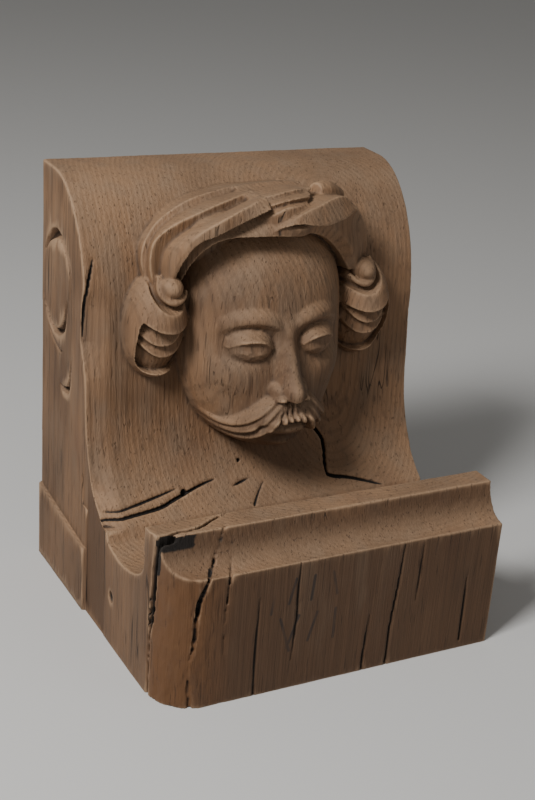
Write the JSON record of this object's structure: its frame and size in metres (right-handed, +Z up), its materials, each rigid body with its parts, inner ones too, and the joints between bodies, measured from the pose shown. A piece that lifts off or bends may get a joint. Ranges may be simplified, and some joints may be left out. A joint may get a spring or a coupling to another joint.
{
  "type": "carved wooden corbel",
  "caption": "Carved oak corbel: an ogee block with a turbanned, moustached head in high relief, above a trough and an upstand with a deep plain front.",
  "frame": {"origin": "under the middle of the block, at the middle of its bounding box's base, on its flat underside", "axes": "+Z up, the carved front to -Y, the flat wall face to +Y, and the viewer's right to +X"},
  "size_m": [0.306, 0.277, 0.3655],
  "materials": {
    "oak": "bare weathered oak, matt, cracked, with a grey-brown patina"
  },
  "bodies": {
    "root": {"corbel": "oak"}
  },
  "joints": []
}
